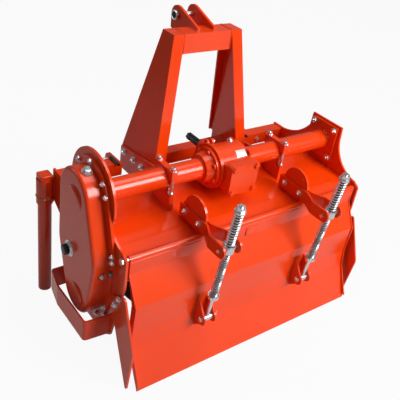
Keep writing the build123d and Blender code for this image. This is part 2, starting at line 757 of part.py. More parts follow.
# Spring rods: swivel, rod with nut, cup and eye, and two coil springs
UPPER_SPAN = ROD_TOP_LIFT - HEAD_LENGTH - SWIVEL_LENGTH / 2
LOWER_SPAN = ROD_SPAN - SWIVEL_LENGTH / 2 - CUP_LIFT - CUP_T
for side_name, side in sides():
    middle = side * ROD_X
    with BuildPart() as swivel:
        with BuildSketch(rod_plane(ROD_SPAN - SWIVEL_LENGTH / 2, middle)):
            Circle(SWIVEL_R)
        extrude(amount=SWIVEL_LENGTH)
        with BuildSketch(across(middle - FORK_SPREAD - FORK_T - 10)):
            with Locations(SWIVEL):
                Circle(SWIVEL_PIN_R)
        extrude(amount=2 * (FORK_SPREAD + FORK_T + 10))
        with BuildSketch(rod_plane(ROD_SPAN - SWIVEL_LENGTH / 2, middle)):
            Circle(ROD_R + FIT)
        extrude(amount=SWIVEL_LENGTH, mode=Mode.SUBTRACT)
    save(swivel.part, f"swivel_{side_name}")

    with BuildPart() as rod:
        with BuildSketch(rod_plane(0, middle)):
            Circle(ROD_R)
        extrude(amount=ROD_SPAN + ROD_TOP_LIFT + ROD_OVER)
        with BuildSketch(rod_plane(CUP_LIFT, middle)):
            Circle(CUP_R)
        extrude(amount=CUP_T)
        with BuildSketch(rod_plane(CUP_LIFT + CUP_T, middle)):
            Circle(CUP_R)
            Circle(CUP_R - CUP_RIM_T, mode=Mode.SUBTRACT)
        extrude(amount=CUP_RIM_H)
        with BuildSketch(rod_plane(ROD_SPAN + ROD_TOP_LIFT - HEAD_LENGTH, middle)):
            Circle(HEAD_R)
        extrude(amount=HEAD_T)
        with BuildSketch(rod_plane(ROD_SPAN + ROD_TOP_LIFT - HEAD_LENGTH + HEAD_T, middle)):
            RegularPolygon(NUT_R, 6)
        extrude(amount=HEAD_LENGTH - HEAD_T)
        with BuildSketch(across(middle - EYE_LENGTH / 2)):
            with Locations(ROD_EYE):
                Circle(EYE_R)
        extrude(amount=EYE_LENGTH)
        with BuildSketch(across(middle - EYE_LENGTH / 2)):
            with Locations(ROD_EYE):
                Circle(EYE_PIN_R + EYE_GAP)
        extrude(amount=EYE_LENGTH, mode=Mode.SUBTRACT)
    save(rod.part, f"spring_rod_{side_name}")

    springs = (
        ("upper_spring", ROD_SPAN + SWIVEL_LENGTH / 2, UPPER_SPAN, UPPER_SPRING_R, UPPER_WIRE, UPPER_COILS),
        ("lower_spring", CUP_LIFT + CUP_T, LOWER_SPAN, LOWER_SPRING_R, LOWER_WIRE, LOWER_COILS),
    )
    for spring_name, foot, span, reach, wire, coils in springs:
        rise = span - wire - 2 * SPRING_SEAT
        seat = rod_plane(foot + SPRING_SEAT + wire / 2, middle)
        with BuildPart() as spring:
            with BuildLine():
                coil = Helix(rise / coils, rise, reach - wire / 2, center=seat.origin, direction=seat.z_dir)
            with BuildSketch(Plane(origin=coil @ 0, z_dir=coil % 0)):
                Circle(wire / 2)
            sweep(is_frenet=True)
        save(spring.part, f"{spring_name}_{side_name}")


# Levelling board: one bent sheet with end plates that hang on the hinge bolts
BOARD_HALF = HALF_WIDTH - BOARD_END_GAP
BOARD_TOE = (-BOARD_TOE_BACK, FLOOR + BOARD_CLEAR)
BOARD_LINE = (BOARD_TOP, BOARD_BULGE, BOARD_WAIST, BOARD_KNEE, BOARD_TOE)
with BuildPart() as levelling_board:
    with BuildSketch(across(-BOARD_HALF)):
        with BuildLine():
            Polyline((HINGE[0] - KNUCKLE_R + SHEET / 2, HINGE[1] - 10), *BOARD_LINE)
            offset(amount=SHEET / 2)
        make_face()
    extrude(amount=2 * BOARD_HALF)
    with BuildSketch(across(-BOARD_HALF)):
        with Locations(HINGE):
            Circle(KNUCKLE_R)
    extrude(amount=2 * BOARD_HALF)
    for x in (-BOARD_HALF, BOARD_HALF - BOARD_END_T):
        with BuildSketch(across(x)):
            with BuildLine():
                Polyline(
                    (HINGE[0] - KNUCKLE_R, HINGE[1]),
                    (BOARD_TOP[0] - 6, BOARD_TOP[1]),
                    (BOARD_BULGE[0] - 8, BOARD_BULGE[1]),
                    (BOARD_WAIST[0] - 8, BOARD_WAIST[1]),
                    (BOARD_KNEE[0] - 10, BOARD_KNEE[1]),
                    (BOARD_TOE[0] - 12, BOARD_TOE[1] + 16),
                    (BOARD_TOE[0] + 10, BOARD_TOE[1] + 16),
                    (BOARD_KNEE[0] + 22, BOARD_KNEE[1]),
                    (BOARD_WAIST[0] + 22, BOARD_WAIST[1]),
                    (BOARD_BULGE[0] + 24, BOARD_BULGE[1]),
                    (HINGE[0] + KNUCKLE_R, HINGE[1]),
                    close=True,
                )
            make_face()
        extrude(amount=BOARD_END_T)
    with BuildSketch(across(-BOARD_HALF)):
        with Locations(HINGE):
            Circle(HINGE_R + FIT)
    extrude(amount=2 * BOARD_HALF, mode=Mode.SUBTRACT)
save(levelling_board.part, "levelling_board")

for side_name, side in sides():
    middle = side * ROD_X
    with BuildPart() as lug:
        for x in (middle - EYE_LENGTH / 2 - 1 - LUG_T, middle + EYE_LENGTH / 2 + 1):
            with BuildSketch(across(x)):
                with BuildLine():
                    Polyline(
                        (BOARD_WAIST[0] - SHEET / 2, ROD_EYE[1] + 110),
                        (ROD_EYE[0] - LUG_R, ROD_EYE[1]),
                        (ROD_EYE[0], ROD_EYE[1] - LUG_R),
                        (BOARD_WAIST[0] - SHEET / 2 - 8, ROD_EYE[1] - 60),
                        close=True,
                    )
                make_face()
                with Locations(ROD_EYE):
                    Circle(LUG_R)
            extrude(amount=LUG_T)
        with BuildSketch(across(middle - EYE_LENGTH / 2 - 1 - LUG_T - 8)):
            with Locations(ROD_EYE):
                Circle(EYE_PIN_R)
        extrude(amount=EYE_LENGTH + 2 * LUG_T + 18)
        with BuildSketch(across(middle - 60)):
            with BuildLine():
                Polyline(
                    *BOARD_LINE,
                    (0, BOARD_TOE[1]),
                    (0, BOARD_TOP[1]),
                    close=True,
                )
            make_face()
        extrude(amount=120, mode=Mode.SUBTRACT)
        add(levelling_board.part, mode=Mode.SUBTRACT)
    save(lug.part, f"board_lug_{side_name}")

    with BuildPart() as hinge_pin:
        with BuildSketch(across(from_x(side, BOARD_HALF - BOARD_END_T - 6, BOARD_END_GAP + BOARD_END_T + 6 + PLATE))):
            with Locations(HINGE):
                Circle(HINGE_R)
        extrude(amount=BOARD_END_GAP + BOARD_END_T + 6 + PLATE)
        with BuildSketch(across(from_x(side, HALF_WIDTH + PLATE, BOLT_HEAD_H))):
            with Locations(HINGE):
                RegularPolygon(BOLT_HEAD_R, 6)
        extrude(amount=BOLT_HEAD_H)
    save(hinge_pin.part, f"board_hinge_pin_{side_name}")

    with BuildPart() as side_wing:
        with BuildSketch(across(from_x(side, HALF_WIDTH + PLATE, WING_T))):
            with Locations(WING_TOP):
                Circle(WING_TOP_R)
            with Locations(WING_CREST):
                Circle(WING_CREST_R)
            with Locations(WING_MIDDLE):
                Circle(WING_MIDDLE_R)
            with Locations((-WING_TIP_BACK, FLOOR + WING_TIP_R)):
                Circle(WING_TIP_R)
            make_hull()
        extrude(amount=WING_T)
    save(side_wing.part, f"side_wing_{side_name}")


# Parking stand: a tube that slides in a sleeve on the left
with BuildPart() as stand_sleeve:
    with BuildSketch(Plane(origin=(-STAND_X, TUBE_Y + STAND_Y, SLEEVE_TOP - SLEEVE_H))):
        Circle(SLEEVE_R)
        with Locations((SLEEVE_R / 2, 0)):
            Rectangle(SLEEVE_R, SLEEVE_FOOT)
        Circle(STAND_R + SLEEVE_GAP, mode=Mode.SUBTRACT)
    extrude(amount=SLEEVE_H)
save(stand_sleeve.part, "stand_sleeve")

with BuildPart() as stand_leg:
    with BuildSketch(Plane(origin=(-STAND_X, TUBE_Y + STAND_Y, FLOOR))):
        Circle(STAND_R)
    extrude(amount=SLEEVE_TOP - FLOOR + STAND_OVER)
    with BuildSketch(Plane(origin=(-STAND_X, TUBE_Y + STAND_Y, SLEEVE_TOP + STAND_OVER))):
        RectangleRounded(STAND_CAP, STAND_CAP, 8)
    extrude(amount=STAND_CAP_T)
    fillet(stand_leg.edges().group_by(Axis.Z)[-1], 4)
save(stand_leg.part, "stand_leg")


# Rotor: a tube with bolted flanges and bent tines
FLANGE_PITCH = 2 * (HALF_WIDTH - FLANGE_FROM_PLATE) / (FLANGE_COUNT - 1)
with BuildPart() as rotor_shaft:
    with BuildSketch(across(-HALF_WIDTH + ROTOR_END_GAP)):
        with Locations(ROTOR):
            Circle(ROTOR_TUBE_R)
    extrude(amount=2 * (HALF_WIDTH - ROTOR_END_GAP))
    with BuildSketch(across(-HALF_WIDTH - PLATE)):
        with Locations(ROTOR):
            Circle(STUB_R)
    extrude(amount=2 * (HALF_WIDTH + PLATE))
    for n in range(FLANGE_COUNT):
        with BuildSketch(across(-HALF_WIDTH + FLANGE_FROM_PLATE + n * FLANGE_PITCH - FLANGE_T / 2)):
            with Locations(ROTOR):
                Circle(FLANGE_R)
        extrude(amount=FLANGE_T)
save(rotor_shaft.part, "rotor_shaft")

with BuildPart() as tine:
    with BuildSketch(Plane.YZ):
        with BuildLine():
            tip = CenterArc((0, 0), TINE_REACH, 90 + TINE_SWEEP, TINE_SPAN)
            back = RadiusArc(tip @ 1, (-TINE_WIDTH / 2, TINE_ROOT), -TINE_CURVE)
            root = Line(back @ 1, (TINE_WIDTH / 2, TINE_ROOT))
            RadiusArc(root @ 1, tip @ 0, TINE_CURVE)
        make_face()
    extrude(amount=TINE_T)
    with BuildSketch(Plane.YZ):
        with BuildLine():
            outer = CenterArc((0, 0), TINE_REACH, 90 + TINE_SWEEP, TINE_SPAN)
            inner = CenterArc((0, 0), TINE_REACH - TINE_T, 90 + TINE_SWEEP, TINE_SPAN)
            Line(outer @ 0, inner @ 0)
            Line(outer @ 1, inner @ 1)
        make_face()
    extrude(amount=TINE_FOOT)
tine_left = mirror(tine.part, about=Plane.YZ)

with BuildPart() as rotor_tines:
    for n in range(FLANGE_COUNT):
        flange_x = -HALF_WIDTH + FLANGE_FROM_PLATE + n * FLANGE_PITCH
        for k in range(TINES_PER_FLANGE):
            turn = n * TINE_TWIST + k * 360 / TINES_PER_FLANGE
            leans_right = n == 0 or (n < FLANGE_COUNT - 1 and k % 2 == 0)
            seat = flange_x + (FLANGE_T / 2 if leans_right else -FLANGE_T / 2)
            with Locations(Location((seat, TUBE_Y + ROTOR[0], ROTOR[1]), (turn, 0, 0))):
                add(tine.part if leans_right else tine_left)
save(rotor_tines.part, "rotor_tines")
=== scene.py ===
import math

import bmesh
import bpy
from mathutils import Matrix, Vector


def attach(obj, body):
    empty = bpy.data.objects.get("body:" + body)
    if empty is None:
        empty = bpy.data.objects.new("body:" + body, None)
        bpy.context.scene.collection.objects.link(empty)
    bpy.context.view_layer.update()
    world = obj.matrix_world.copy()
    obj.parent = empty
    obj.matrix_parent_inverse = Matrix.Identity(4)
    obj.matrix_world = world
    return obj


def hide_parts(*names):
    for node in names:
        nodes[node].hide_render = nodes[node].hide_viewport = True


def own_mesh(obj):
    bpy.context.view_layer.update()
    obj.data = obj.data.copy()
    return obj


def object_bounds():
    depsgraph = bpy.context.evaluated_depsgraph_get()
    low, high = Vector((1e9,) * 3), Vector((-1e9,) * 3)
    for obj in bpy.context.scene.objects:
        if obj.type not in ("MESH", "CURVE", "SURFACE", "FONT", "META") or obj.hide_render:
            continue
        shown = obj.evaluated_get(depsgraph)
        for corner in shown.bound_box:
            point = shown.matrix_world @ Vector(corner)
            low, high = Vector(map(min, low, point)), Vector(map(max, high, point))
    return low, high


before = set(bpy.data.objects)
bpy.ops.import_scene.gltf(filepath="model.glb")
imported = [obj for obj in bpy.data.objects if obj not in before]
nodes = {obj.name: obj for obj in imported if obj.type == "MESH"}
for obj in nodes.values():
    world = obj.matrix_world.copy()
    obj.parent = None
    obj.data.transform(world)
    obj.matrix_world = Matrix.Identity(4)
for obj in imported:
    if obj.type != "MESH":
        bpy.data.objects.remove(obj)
cad_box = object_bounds()


# Side plates
# Two laser-cut steel plates, 10 mm thick, that carry everything between them.
# They are welded to the main tube and hood, then dipped and stove enamelled orange.
MM = 0.001
TUBE_Y = -270
HALF_WIDTH = 630
PLATE = 10
OUTER_FACE = HALF_WIDTH + PLATE
ROTOR = (-45, -412)
RIGHT = (1, 0, 0)
SHARP = math.radians(35)


def place(x, y, z):
    """A point given in millimetres, with y counted from the main tube's axis."""
    return Vector((x, y + TUBE_Y, z)) * MM


def on_circle(centre, radius, angle):
    """A point on a circle: its y and z, where the circle is square to X and turns from +Y to +Z."""
    return centre[0] + radius * math.cos(angle), centre[1] + radius * math.sin(angle)


def linear(hex_colour):
    """A colour written as sRGB hex, as the linear values that Blender's sockets take."""
    channels = [int(hex_colour[i:i + 2], 16) / 255 for i in (1, 3, 5)]
    curved = [c / 12.92 if c <= 0.04045 else ((c + 0.055) / 1.055) ** 2.4 for c in channels]
    return (*curved, 1.0)


def add_node(tree, kind, settings=None, links=None):
    """A node in a material, with its settings, and links from other sockets to its inputs."""
    new = tree.nodes.new(kind)
    for name, value in (settings or {}).items():
        if name in new.inputs:
            new.inputs[name].default_value = value
        else:
            setattr(new, name, value)
    for name, socket in (links or {}).items():
        tree.links.new(socket, new.inputs[name])
    return new


def tint_shader(tree, shader, mask, colour, other):
    """The shader's colour goes from one hex value to another where the mask does."""
    tint = add_node(tree, "ShaderNodeMix", {"data_type": "RGBA"}, {0: mask})
    tint.inputs[6].default_value = linear(colour)
    tint.inputs[7].default_value = linear(other)
    tree.links.new(tint.outputs[2], shader.inputs["Base Color"])


def bump_shader(tree, shader, spot, grain_mm, detail, strength, depth_mm):
    """A bumpy skin whose grain has a real size."""
    grain = add_node(tree, "ShaderNodeTexNoise", {"Scale": 1 / (grain_mm * MM), "Detail": detail},
                     {"Vector": spot.outputs["Object"]})
    skin = add_node(tree, "ShaderNodeBump", {"Strength": strength, "Distance": depth_mm * MM},
                    {"Height": grain.outputs["Fac"]})
    tree.links.new(skin.outputs["Normal"], shader.inputs["Normal"])


def gloss_shader(tree, shader, mask, smooth, dull):
    """The shader's roughness goes from smooth to dull where the mask does."""
    gloss = add_node(tree, "ShaderNodeMapRange", {"To Min": smooth, "To Max": dull}, {"Value": mask})
    tree.links.new(gloss.outputs["Result"], shader.inputs["Roughness"])


def enamel(name, colour, shade, roughness, ripple_mm, bump):
    """Paint on metal: a colour that varies a little, and a skin with a slow ripple."""
    paint = bpy.data.materials.new(name)
    paint.use_nodes = True
    tree = paint.node_tree
    shader = tree.nodes["Principled BSDF"]
    shader.inputs["IOR"].default_value = 1.5
    spot = add_node(tree, "ShaderNodeTexCoord")
    drift = add_node(tree, "ShaderNodeTexNoise", {"Scale": 3.0, "Detail": 2.0},
                     {"Vector": spot.outputs["Object"]})
    tint_shader(tree, shader, drift.outputs["Fac"], colour, shade)
    bump_shader(tree, shader, spot, ripple_mm, 2.0, bump, 0.4)
    gloss_shader(tree, shader, drift.outputs["Fac"], roughness - 0.05, roughness + 0.07)
    return paint


def bare_metal(name, colour, dull, roughness, grain_mm, bump):
    """Metal with no paint: patches of a duller crystal, a fine grain and a broken gloss."""
    metal = bpy.data.materials.new(name)
    metal.use_nodes = True
    tree = metal.node_tree
    shader = tree.nodes["Principled BSDF"]
    shader.inputs["Metallic"].default_value = 1.0
    spot = add_node(tree, "ShaderNodeTexCoord")
    patch = add_node(tree, "ShaderNodeTexNoise", {"Scale": 1 / (grain_mm * 4 * MM), "Detail": 3.0},
                     {"Vector": spot.outputs["Object"]})
    tint_shader(tree, shader, patch.outputs["Fac"], colour, dull)
    gloss_shader(tree, shader, patch.outputs["Fac"], roughness - 0.08, roughness + 0.12)
    bump_shader(tree, shader, spot, grain_mm, 3.0, bump, 0.15)
    return metal


def dress(names, material, edge_mm):
    """The CAD nodes take a material, and their sharp edges a small round of that width."""
    for name in names:
        node = nodes[name]
        node.data.materials.clear()
        node.data.materials.append(material)
        if edge_mm:
            round_edge = node.modifiers.new("paint_round", "BEVEL")
            round_edge.width = edge_mm * MM
            round_edge.segments = 2
            round_edge.limit_method = "ANGLE"
            round_edge.angle_limit = SHARP
            round_edge.harden_normals = True


def make_piece(name, mesh, material, body):
    """A finished bmesh becomes a named piece that rides on a body."""
    bmesh.ops.recalc_face_normals(mesh, faces=mesh.faces)
    for face in mesh.faces:
        face.smooth = True
    for edge in mesh.edges:
        edge.smooth = len(edge.link_faces) == 2 and edge.calc_face_angle() < SHARP
    data = bpy.data.meshes.new(name)
    mesh.to_mesh(data)
    mesh.free()
    data.materials.append(material)
    piece = bpy.data.objects.new(name, data)
    bpy.context.scene.collection.objects.link(piece)
    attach(piece, body)
    return piece


def round_bar(target, middle, radius, length, axis="Z", segments=20):
    """A plain round bar, sized in millimetres, with its middle at a point. It lies along X, Y or Z."""
    turned = {"X": "Y", "Y": "X"}.get(axis)
    lie = Matrix.Rotation(math.pi / 2, 4, turned) if turned else Matrix.Identity(4)
    made = bmesh.ops.create_cone(target, cap_ends=True, segments=segments, radius1=radius * MM,
                                 radius2=radius * MM, depth=length * MM,
                                 matrix=Matrix.Translation(middle) @ lie)
    return made["verts"]


def round_edges(target, edges, width, segments=2):
    """Edges of a mesh rounded to a width in millimetres."""
    bmesh.ops.bevel(target, geom=edges, offset=width * MM, segments=segments, profile=0.5,
                    affect="EDGES", material=-1)


def fastener(corner, height, washer=0, stud=0):
    """A hex head with rounded corners on its washer, with the bolt's end over it, on z = 0.

    The corner and washer are radii, the height and stud are lengths, all in millimetres.
    """
    made = bmesh.new()
    foot = 2 if washer else 0
    if washer:
        round_bar(made, (0, 0, foot / 2 * MM), washer, foot)
    head = round_bar(made, (0, 0, foot * MM + height * MM / 2), corner, height, segments=6)
    upper = [v for v in head if v.co.z > (foot + height / 2) * MM]
    round_edges(made, [e for e in made.edges if all(v in upper for v in e.verts)], 0.12 * corner)
    if stud:
        bmesh.ops.create_cone(made, cap_ends=True, segments=14, radius1=0.52 * corner * MM,
                              radius2=0.44 * corner * MM, depth=stud * MM,
                              matrix=Matrix.Translation((0, 0, (foot + height + stud / 2) * MM)))
    data = bpy.data.meshes.new("fastener")
    made.to_mesh(data)
    made.free()
    return data


def set_on(target, small, point, normal, turn=0.0):
    """A copy of a small mesh joined to target, standing on point along normal."""
    moved = small.copy()
    stand = Vector(normal).to_track_quat("Z", "Y").to_matrix().to_4x4()
    moved.transform(Matrix.Translation(point) @ stand @ Matrix.Rotation(turn, 4, "Z"))
    target.from_mesh(moved)
    bpy.data.meshes.remove(moved)


# Stove enamel over steel sheet: a wet-looking orange red with a faint orange-peel skin.
sheet_enamel = enamel("orange_stove_enamel", "#F04406", "#E43A03", 0.2, 9.0, 0.06)
# Zinc plate on bolts, rods and pins: pale blue-grey with a fine grain.
zinc = bare_metal("bright_zinc_plate", "#EAECEE", "#C6CACE", 0.25, 1.2, 0.12)

dress(["side_plate_left", "side_plate_right", "bearing_cap"], sheet_enamel, 1.5)

bolt_m12 = fastener(10.5, 7, 12.5, 4)
bolt_m14 = fastener(12.0, 8, 14.5, 5)
bolt_m16 = fastener(13.5, 9, 16.0, 6)

PLATE_BOLT_Y, PLATE_BOLT_Z = 63.75, 65
CAP_T, CAP_BOLT_R = 10, 57
plate_bolts = bmesh.new()
for z in (PLATE_BOLT_Z, -PLATE_BOLT_Z):
    for y, turn in ((-PLATE_BOLT_Y, 0.3), (PLATE_BOLT_Y, 0.7)):
        set_on(plate_bolts, bolt_m14, place(OUTER_FACE, y, z), RIGHT, turn)
for k in range(4):
    y, z = on_circle(ROTOR, CAP_BOLT_R, math.radians(45 + 90 * k))
    set_on(plate_bolts, bolt_m12, place(OUTER_FACE + CAP_T, y, z), RIGHT, k)
make_piece("right_plate_bolts", plate_bolts, zinc, "frame")


# Hood
# One sheet of 5 mm steel folded over the rotor, its front edge low and its rear edge at the hinge.
# It is welded to both side plates with a bead that shows as a soft ripple in the corner.
dress(["hood"], sheet_enamel, 1.0)


def rope(target, path, radius, ripple=0.0, closed=False, swell=0.0):
    """A round bar swept along a path of points. A ripple makes it a weld bead, a swell a crescent."""
    line = bpy.data.curves.new("bar_line", "CURVE")
    line.dimensions = "3D"
    line.bevel_depth = radius * MM
    line.bevel_resolution = 2
    line.use_fill_caps = True
    spline = line.splines.new("POLY")
    spline.points.add(len(path) - 1)
    spline.use_cyclic_u = closed
    for n, point in enumerate(path):
        spline.points[n].co = (*point, 1)
        wave = ripple * math.sin(n * 2.1)
        spline.points[n].radius = 1 + wave + swell * math.sin(math.pi * n / len(path))
    bar = bpy.data.objects.new("bar", line)
    swept = bpy.data.meshes.new_from_object(bar)
    target.from_mesh(swept)
    bmesh.ops.remove_doubles(target, verts=target.verts, dist=0.01 * MM)
    bpy.data.meshes.remove(swept)
    bpy.data.objects.remove(bar)
    bpy.data.curves.remove(line)


def weld(target, path, radius, closed=False):
    """A weld bead, half sunk, with a ripple every few millimetres."""
    rope(target, path, radius, ripple=0.14, closed=closed)


def line_path(start, end, step=4):
    """Points along a straight line, about one step in millimetres apart."""
    count = max(2, int((end - start).length / (step * MM)))
    return [start.lerp(end, n / count) for n in range(count + 1)]


HOOD_FOLDS = ((100, -101), (-38, -123), (-175, -135), (-230, -146))
SEAM_IN = 2
hood_seams = bmesh.new()
for x in (-HALF_WIDTH + SEAM_IN, HALF_WIDTH - SEAM_IN):
    corners = [place(x, *fold) for fold in HOOD_FOLDS]
    for start, end in zip(corners, corners[1:]):
        weld(hood_seams, line_path(start, end), 2.6)
make_piece("hood_weld_seams", hood_seams, sheet_enamel, "frame")


# Main tube
# Two lengths of thick tube in line, one each side of the gearbox, with flanges at their ends.
# The right one is bolted to its side plate by a square flange with four zinc bolts.
dress(["main_tube_left", "main_tube_right"], sheet_enamel, 1.2)

TUBE_AXIS = (0, 0)
TUBE_FLANGE_T = 12
TUBE_BOLT_Y, TUBE_BOLT_Z = 66, 72
LEFT = (-1, 0, 0)
tube_bolts = bmesh.new()
for y in (-TUBE_BOLT_Y, TUBE_BOLT_Y):
    for z in (-TUBE_BOLT_Z, TUBE_BOLT_Z):
        set_on(tube_bolts, bolt_m16, place(HALF_WIDTH - TUBE_FLANGE_T, y, z), LEFT, 0.4)
make_piece("tube_flange_bolts", tube_bolts, zinc, "frame")


def ring_path(x, centre, radius, step=4):
    """Points round a circle square to X, about one step in millimetres apart."""
    count = max(12, int(math.tau * radius / step))
    return [place(x, *on_circle(centre, radius, k * math.tau / count)) for k in range(count)]


BEAD_R, BEAD_OUT = 46, 1.5
BOX_PLATE_FACE, BELL_END = 84, -136
tube_seams = bmesh.new()
for x in (HALF_WIDTH - TUBE_FLANGE_T - BEAD_OUT, BOX_PLATE_FACE + BEAD_OUT, -HALF_WIDTH + BEAD_OUT,
          BELL_END - BEAD_OUT):
    weld(tube_seams, ring_path(x, TUBE_AXIS, BEAD_R), 3.0, closed=True)
make_piece("tube_weld_seams", tube_seams, sheet_enamel, "frame")


# Gearbox
# A cast iron housing with a ground flange each side and a square cover behind, painted over.
# Flanges and cover are bolted on before painting, so their bolts' heads are orange too.

# Enamel on sand-cast iron: the same orange, on a coarser skin that breaks up its gloss.
cast_enamel = enamel("orange_enamel_on_casting", "#EE460C", "#E23A06", 0.27, 4.0, 0.3)
dress(["gearbox", "gearbox_cover"], cast_enamel, 2.2)

REAR = (0, -1, 0)
COVER_FACE = -145
BELL_FACE, BELL_BOLT_R, BELL_BOLTS = -102, 74, 7
SQUARE_BOLT = 62
cover_bolt = fastener(13, 10)
bell_bolt = fastener(11.5, 9)
square_bolt = fastener(10.5, 7)
box_bolts = bmesh.new()
for x in (-59, 59):
    for z in (-62, 50):
        set_on(box_bolts, cover_bolt, place(x, COVER_FACE, z), REAR, 0.4)
for k in range(BELL_BOLTS):
    y, z = on_circle(TUBE_AXIS, BELL_BOLT_R, math.radians(100 + 360 / BELL_BOLTS * k))
    set_on(box_bolts, bell_bolt, place(BELL_FACE, y, z), LEFT, k)
for y in (-SQUARE_BOLT, SQUARE_BOLT):
    for z in (-SQUARE_BOLT, SQUARE_BOLT):
        set_on(box_bolts, square_bolt, place(BOX_PLATE_FACE, y, z), RIGHT, 0.2)
make_piece("gearbox_bolts", box_bolts, cast_enamel, "frame")

# Rolled aluminium sheet: pale, with a broad satin gloss. It is a blank plate, riveted to the
# housing's rear shoulder, and its strip is spun about the tube's axis to lie on the round body.
aluminium = bare_metal("satin_aluminium_plate", "#E4E5E6", "#CFD1D3", 0.42, 1.5, 0.1)
BLANK_LEFT, BLANK_RIGHT, BLANK_R = 14, 66, 88.2
BLANK_T = 0.9
BLANK_TOP, BLANK_BOTTOM = math.radians(120), math.radians(141)
RIVET_IN, RIVET_TURN = 4, 0.045
RIVET_R, RIVET_LIFT = 1.6, 0.6
blank_plate = bmesh.new()
ends = [blank_plate.verts.new(place(x, *on_circle(TUBE_AXIS, BLANK_R, BLANK_TOP)))
        for x in (BLANK_LEFT, BLANK_RIGHT)]
top_edge = blank_plate.edges.new(ends)
bmesh.ops.spin(blank_plate, geom=[*ends, top_edge], cent=place(0, 0, 0), axis=(1, 0, 0), dvec=(0, 0, 0),
               angle=BLANK_BOTTOM - BLANK_TOP, steps=8, use_duplicate=False)
bmesh.ops.recalc_face_normals(blank_plate, faces=blank_plate.faces)
bmesh.ops.solidify(blank_plate, geom=blank_plate.faces[:], thickness=BLANK_T * MM)
for x in (BLANK_LEFT + RIVET_IN, BLANK_RIGHT - RIVET_IN):
    for angle in (BLANK_TOP + RIVET_TURN, BLANK_BOTTOM - RIVET_TURN):
        rivet = bmesh.ops.create_uvsphere(blank_plate, u_segments=12, v_segments=8, radius=RIVET_R * MM)
        spot = place(x, *on_circle(TUBE_AXIS, BLANK_R + RIVET_LIFT, angle))
        bmesh.ops.translate(blank_plate, vec=spot, verts=rivet["verts"])
make_piece("gearbox_blank_plate", blank_plate, aluminium, "frame")


def rims(target):
    """The square edges of a mesh, such as the rim of a bar's end."""
    return [e for e in target.edges if e.calc_face_angle(0) > 1]


# Lifting ear: two short cheeks cast on the housing's front top, with a zinc bolt through them.
EAR_Y, EAR_Z = 62, 78
EAR_R, EAR_T = 15, 10
ear = bmesh.new()
for x in (-60, -36):
    round_bar(ear, place(x, EAR_Y, EAR_Z), EAR_R, EAR_T, "X", segments=28)
round_edges(ear, rims(ear), 1.5)
make_piece("gearbox_lifting_ear", ear, cast_enamel, "frame")
ear_bolt = bmesh.new()
set_on(ear_bolt, bolt_m14, place(-31, EAR_Y, EAR_Z), RIGHT, 0.2)
set_on(ear_bolt, bolt_m14, place(40, 28, 84), (0, 0.2, 1), 0.5)
make_piece("gearbox_top_bolts", ear_bolt, zinc, "frame")


# Input shaft
# A six-spline shaft, 35 mm across, turned, milled and blacked, with a groove for the yoke's catch.
# Its section is drawn at the chamfered tip and extruded from station to station.

# Black oxide on steel: nearly black with an oily gloss.
black_steel = bare_metal("black_oxide_steel", "#505356", "#343638", 0.27, 2.0, 0.1)

SPLINES = 6
SPLINE_R, ROOT_R = 17.4, 14.6
FLANK_TURN, LAND_TURN = 0.33, 0.25
# Each station is a distance from the tip and the section's share of its full size there.
TIP_SHARE = 0.8
STATIONS = ((-2.5, 0.995), (-25, 0.995), (-25.5, 0.83), (-33, 0.83), (-33.5, 0.995), (-96, 0.995))
PLAIN_STEPS = ((-90, -118, 17.3), (-118, -157.6, 21))
shaft = bmesh.new()
end_rim = []
for n in range(SPLINES):
    middle = n * math.tau / SPLINES
    for angle, reach in ((-FLANK_TURN, ROOT_R), (-LAND_TURN, SPLINE_R), (0, SPLINE_R),
                         (LAND_TURN, SPLINE_R), (FLANK_TURN, ROOT_R)):
        x, z = on_circle((0, 0), reach, middle + angle)
        end_rim.append(shaft.verts.new(Vector((TIP_SHARE * x, 0, TIP_SHARE * z)) * MM))
tip = shaft.faces.new(end_rim)
y_last, share_last = 0, TIP_SHARE
for y, share in STATIONS:
    tip = bmesh.ops.extrude_discrete_faces(shaft, faces=[tip])["faces"][0]
    bmesh.ops.scale(shaft, vec=(share / share_last, 1, share / share_last), verts=tip.verts)
    bmesh.ops.translate(shaft, vec=(0, (y - y_last) * MM, 0), verts=tip.verts)
    y_last, share_last = y, share
shaft.faces.new(reversed(end_rim))
for front, rear, reach in PLAIN_STEPS:
    middle = Vector((0, (front + rear) / 2, 0)) * MM
    round_bar(shaft, middle, reach, front - rear, "Y", segments=48)
splined_shaft = make_piece("splined_shaft", shaft, black_steel, "input")
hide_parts("input_shaft")


# Drive case and its guard
# A deep pressed steel cover over the gear train, bolted to the side plate round its rim.
# A flat bar bent round its foot guards it. Plugs for filling, level and drain are zinc plated.
dress(["drive_case"], sheet_enamel, 0)
dress(["case_guard"], sheet_enamel, 1.2)

CASE_ROUNDS = (((0, 15), 112), ((-33, -210), 150), ((-45, -412), 100))
RIM_T, RIM_GROW = 12, 20
LINE_STEPS = 720
RIM_BOLTS = ((92, 117), (-2, 152), (-113, 112), (-157, 10), (-188, -96), (-220, -180), (-211, -265),
             (-204, -331), (-180, -430), (-110, -520), (0, -510), (70, -430), (110, -330), (125, -220),
             (125, -110), (125, 10))


def case_line(grow, count):
    """Points evenly spaced round the drive case, grown outwards from its body."""
    fine = []
    for n in range(LINE_STEPS):
        way = Vector(on_circle((0, 0), 1, n * math.tau / LINE_STEPS))
        centre, reach = max(CASE_ROUNDS, key=lambda c: Vector(c[0]).dot(way) + c[1])
        fine.append(Vector(centre) + way * (reach + grow))
    steps = [(b - a).length for a, b in zip(fine, fine[1:] + fine[:1])]
    total, picked, run = sum(steps), [], 0.0
    for point, step in zip(fine, steps):
        if run >= len(picked) * total / count:
            picked.append(point)
        run += step
    return picked


